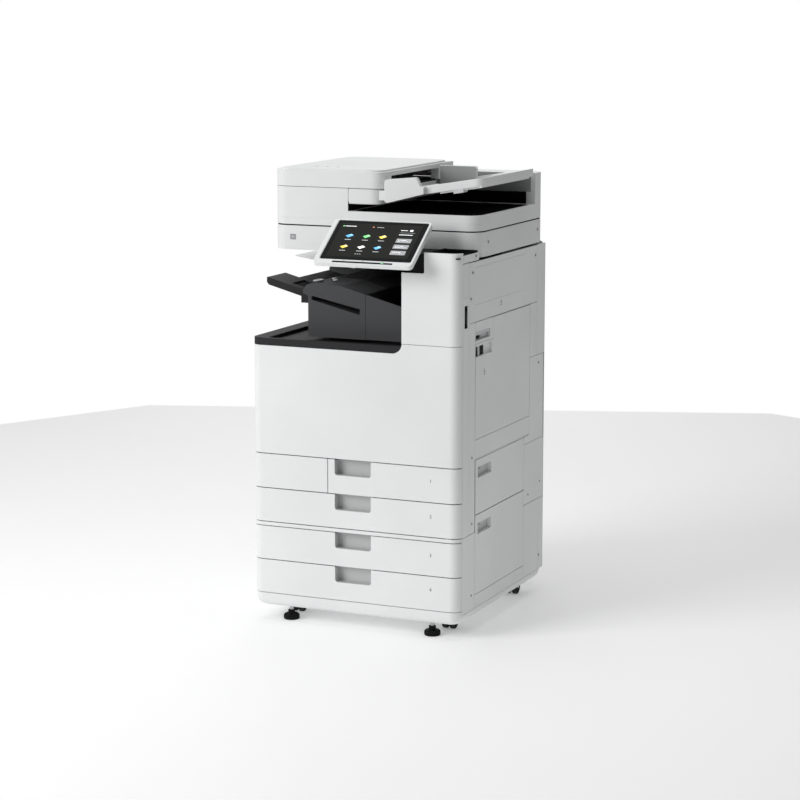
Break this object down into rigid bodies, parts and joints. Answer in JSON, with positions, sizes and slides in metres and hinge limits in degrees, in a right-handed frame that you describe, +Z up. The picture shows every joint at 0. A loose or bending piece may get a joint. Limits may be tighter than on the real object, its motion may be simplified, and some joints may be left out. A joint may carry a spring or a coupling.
{
  "type": "office photocopier",
  "caption": "Floor-standing office photocopier with paper drawers, inner stapling finisher, flatbed scanner, document feeder and a tilting touch panel, on casters.",
  "frame": {"origin": "on the floor under the middle of the whole machine's box", "axes": "+Z up, +X to the machine's right seen from the front, +Y to the rear"},
  "size_m": [0.605, 0.723, 1.14],
  "materials": {
    "white_cover": "fine spark texture, satin",
    "grey_cover": "fine texture, satin",
    "dark_plastic": "fine texture, matt",
    "black_plastic": "matt",
    "clear_glass": "polished float glass",
    "screen": "glossy",
    "steel": "zinc plated",
    "rubber": "matt",
    "silicone": "smooth",
    "board": "solder mask",
    "key_grey": "smooth",
    "belt_film": "smooth film",
    "toner_yellow": "moulded",
    "toner_magenta": "moulded",
    "toner_cyan": "moulded",
    "toner_black": "moulded"
  },
  "bodies": {
    "main_unit": {"main_frame": "steel", "cassette_frame": "steel", "base_cover": "white_cover", "left_cover": "white_cover", "rear_cover": "white_cover", "right_covers": "white_cover", "front_column": "white_cover", "delivery_tray": "dark_plastic", "scanner_housing": "white_cover", "platen_glass": "clear_glass", "panel_mount": "black_plastic", "power_inlet": "black_plastic", "power_supply": "steel", "control_board": "board", "transfer_belt_unit": "belt_film", "drum_units": "black_plastic", "fixing_unit": "steel", "cover_screws": "steel", "upper_tray": "white_cover"},
    "feeder": {"feeder_body": "white_cover", "platen_pad": "white_cover"},
    "feed_cover": {"feed_cover": "white_cover"},
    "document_tray": {"document_tray": "white_cover"},
    "guide_rear": {"guide_rear": "white_cover"},
    "guide_front": {"guide_front": "white_cover"},
    "pickup_roller": {"pickup_roller": "rubber"},
    "scan_carriage": {"scan_carriage": "black_plastic"},
    "front_door": {"front_door": "white_cover"},
    "waste_toner_cover": {"waste_toner_cover": "white_cover"},
    "drawer_1": {"drawer_1": "white_cover"},
    "drawer_2": {"drawer_2": "white_cover"},
    "drawer_3": {"drawer_3": "white_cover"},
    "drawer_4": {"drawer_4": "white_cover"},
    "right_door": {"right_door": "white_cover"},
    "release_handle": {"release_handle": "grey_cover"},
    "bypass_tray": {"bypass_tray": "white_cover"},
    "middle_door": {"middle_door": "white_cover"},
    "bottom_door": {"bottom_door": "white_cover"},
    "power_switch": {"power_switch": "black_plastic"},
    "finisher_cover": {"finisher_cover": "dark_plastic"},
    "stack_tray": {"stack_tray": "dark_plastic"},
    "staple_key": {"staple_key": "key_grey"},
    "round_key_1": {"round_key_1": "key_grey"},
    "round_key_2": {"round_key_2": "key_grey"},
    "rear_wheels": {"rear_wheels": "black_plastic"},
    "fixing_roller": {"fixing_roller": "silicone"},
    "pressure_roller": {"pressure_roller": "rubber"},
    "toner_bottle_yellow": {"toner_bottle_yellow": "toner_yellow"},
    "toner_bottle_magenta": {"toner_bottle_magenta": "toner_magenta"},
    "toner_bottle_cyan": {"toner_bottle_cyan": "toner_cyan"},
    "toner_bottle_black": {"toner_bottle_black": "toner_black"},
    "control_panel": {"control_panel": "white_cover", "touch_screen": "screen"},
    "finisher": {"finisher_housing": "dark_plastic"},
    "front_caster_left": {"front_caster_left": "steel"},
    "front_wheels_left": {"front_wheels_left": "black_plastic"},
    "adjuster_left": {"adjuster_left": "rubber"},
    "front_caster_right": {"front_caster_right": "steel"},
    "front_wheels_right": {"front_wheels_right": "black_plastic"},
    "adjuster_right": {"adjuster_right": "rubber"}
  },
  "joints": [
    {"name": "feeder_lift", "type": "hinge", "parent": "main_unit", "child": "feeder", "pos_m": [0.0175, 0.28652, 1.01], "axis": [-1, 0, 0], "range_deg": [0, 70]},
    {"name": "feed_cover_lift", "type": "hinge", "parent": "feeder", "child": "feed_cover", "pos_m": [-0.2635, 0.03152, 1.0975], "axis": [0, -1, 0], "range_deg": [0, 70]},
    {"name": "document_tray_lift", "type": "hinge", "parent": "feeder", "child": "document_tray", "pos_m": [0.0515, 0.03152, 1.078], "axis": [0, -1, 0], "range_deg": [0, 12]},
    {"name": "guide_rear_slide", "type": "slide", "parent": "document_tray", "child": "guide_rear", "axis": [0, 1, 0], "range_m": [-0.085, 0.03]},
    {"name": "guide_front_slide", "type": "slide", "parent": "document_tray", "child": "guide_front", "axis": [0, 1, 0], "range_m": [-0.03, 0.085]},
    {"name": "pickup_spin", "type": "hinge", "parent": "feeder", "child": "pickup_roller", "pos_m": [-0.0125, 0.02152, 1.11], "axis": [0, 1, 0], "continuous": true},
    {"name": "scan_travel", "type": "slide", "parent": "main_unit", "child": "scan_carriage", "axis": [1, 0, 0], "range_m": [0, 0.42]},
    {"name": "panel_tilt", "type": "hinge", "parent": "main_unit", "child": "control_panel", "pos_m": [0.0755, -0.24048, 0.941], "axis": [-1, 0, 0], "range_deg": [0, 28]},
    {"name": "front_door_hinge", "type": "hinge", "parent": "main_unit", "child": "front_door", "pos_m": [0.0175, -0.28548, 0.4385], "axis": [1, 0, 0], "range_deg": [0, 85]},
    {"name": "waste_toner_cover_hinge", "type": "hinge", "parent": "main_unit", "child": "waste_toner_cover", "pos_m": [-0.1595, -0.28548, 0.3498], "axis": [1, 0, 0], "range_deg": [0, 80]},
    {"name": "drawer_1_slide", "type": "slide", "parent": "main_unit", "child": "drawer_1", "axis": [0, -1, 0], "range_m": [0, 0.42]},
    {"name": "drawer_2_slide", "type": "slide", "parent": "main_unit", "child": "drawer_2", "axis": [0, -1, 0], "range_m": [0, 0.42]},
    {"name": "drawer_3_slide", "type": "slide", "parent": "main_unit", "child": "drawer_3", "axis": [0, -1, 0], "range_m": [0, 0.42]},
    {"name": "drawer_4_slide", "type": "slide", "parent": "main_unit", "child": "drawer_4", "axis": [0, -1, 0], "range_m": [0, 0.42]},
    {"name": "right_door_hinge", "type": "hinge", "parent": "main_unit", "child": "right_door", "pos_m": [0.2988, 0.18582, 0.611], "axis": [0, 0, 1], "range_deg": [0, 60]},
    {"name": "bypass_tray_hinge", "type": "hinge", "parent": "right_door", "child": "bypass_tray", "pos_m": [0.298, -0.00048, 0.49], "axis": [0, 1, 0], "range_deg": [0, 60]},
    {"name": "release_handle_pull", "type": "hinge", "parent": "right_door", "child": "release_handle", "pos_m": [0.2905, -0.13848, 0.752], "axis": [0, -1, 0], "range_deg": [0, 12], "stiffness_Nm_per_rad": 0.4},
    {"name": "middle_door_hinge", "type": "hinge", "parent": "main_unit", "child": "middle_door", "pos_m": [0.2988, 0.15032, 0.368], "axis": [0, 0, 1], "range_deg": [0, 80]},
    {"name": "bottom_door_hinge", "type": "hinge", "parent": "main_unit", "child": "bottom_door", "pos_m": [0.2988, 0.15032, 0.1965], "axis": [0, 0, 1], "range_deg": [0, 80]},
    {"name": "power_switch_rock", "type": "hinge", "parent": "main_unit", "child": "power_switch", "pos_m": [0.2965, -0.24798, 0.801], "axis": [0, 1, 0], "range_deg": [-4, 4]},
    {"name": "finisher_slide", "type": "slide", "parent": "main_unit", "child": "finisher", "axis": [-1, 0, 0], "range_m": [0, 0.2]},
    {"name": "finisher_cover_hinge", "type": "hinge", "parent": "finisher", "child": "finisher_cover", "pos_m": [0.1427, -0.22568, 0.78], "axis": [0, 0, 1], "range_deg": [0, 75]},
    {"name": "stack_tray_drop", "type": "slide", "parent": "finisher", "child": "stack_tray", "axis": [0, 0, -1], "range_m": [0, 0.055]},
    {"name": "staple_key_press", "type": "slide", "parent": "finisher", "child": "staple_key", "axis": [0, 0, -1], "range_m": [0, 0.0008], "stiffness_N_per_m": 400},
    {"name": "round_key_1_press", "type": "slide", "parent": "finisher", "child": "round_key_1", "axis": [0, 0, -1], "range_m": [0, 0.0008], "stiffness_N_per_m": 400},
    {"name": "round_key_2_press", "type": "slide", "parent": "finisher", "child": "round_key_2", "axis": [0, 0, -1], "range_m": [0, 0.0008], "stiffness_N_per_m": 400},
    {"name": "front_caster_left_swivel", "type": "hinge", "parent": "main_unit", "child": "front_caster_left", "pos_m": [-0.1935, -0.18348, 0.04], "axis": [0, 0, 1], "continuous": true},
    {"name": "front_wheels_left_roll", "type": "hinge", "parent": "front_caster_left", "child": "front_wheels_left", "pos_m": [-0.1935, -0.17148, 0.019], "axis": [1, 0, 0], "continuous": true},
    {"name": "front_caster_right_swivel", "type": "hinge", "parent": "main_unit", "child": "front_caster_right", "pos_m": [0.2285, -0.18348, 0.04], "axis": [0, 0, 1], "continuous": true},
    {"name": "front_wheels_right_roll", "type": "hinge", "parent": "front_caster_right", "child": "front_wheels_right", "pos_m": [0.2285, -0.17148, 0.019], "axis": [1, 0, 0], "continuous": true},
    {"name": "rear_wheels_roll", "type": "hinge", "parent": "main_unit", "child": "rear_wheels", "pos_m": [0.0175, 0.21852, 0.019], "axis": [1, 0, 0], "continuous": true},
    {"name": "adjuster_left_turn", "type": "hinge", "parent": "main_unit", "child": "adjuster_left", "pos_m": [-0.1775, -0.24748, 0.02], "axis": [0, 0, 1], "continuous": true},
    {"name": "adjuster_right_turn", "type": "hinge", "parent": "main_unit", "child": "adjuster_right", "pos_m": [0.2125, -0.24748, 0.02], "axis": [0, 0, 1], "continuous": true},
    {"name": "fixing_roller_spin", "type": "hinge", "parent": "main_unit", "child": "fixing_roller", "pos_m": [0.1975, -0.04848, 0.69], "axis": [0, 1, 0], "continuous": true},
    {"name": "pressure_roller_spin", "type": "hinge", "parent": "main_unit", "child": "pressure_roller", "pos_m": [0.2315, -0.04848, 0.69], "axis": [0, 1, 0], "continuous": true},
    {"name": "toner_bottle_yellow_turn", "type": "hinge", "parent": "main_unit", "child": "toner_bottle_yellow", "pos_m": [-0.1875, -0.05848, 0.64], "axis": [0, 1, 0], "continuous": true},
    {"name": "toner_bottle_magenta_turn", "type": "hinge", "parent": "main_unit", "child": "toner_bottle_magenta", "pos_m": [-0.0975, -0.05848, 0.64], "axis": [0, 1, 0], "continuous": true},
    {"name": "toner_bottle_cyan_turn", "type": "hinge", "parent": "main_unit", "child": "toner_bottle_cyan", "pos_m": [-0.0075, -0.05848, 0.64], "axis": [0, 1, 0], "continuous": true},
    {"name": "toner_bottle_black_turn", "type": "hinge", "parent": "main_unit", "child": "toner_bottle_black", "pos_m": [0.0825, -0.05848, 0.64], "axis": [0, 1, 0], "continuous": true}
  ],
  "couplings": [
    {"joint": "guide_front_slide", "follows": "guide_rear_slide", "ratio": -1},
    {"joint": "pressure_roller_spin", "follows": "fixing_roller_spin", "ratio": -1}
  ]
}
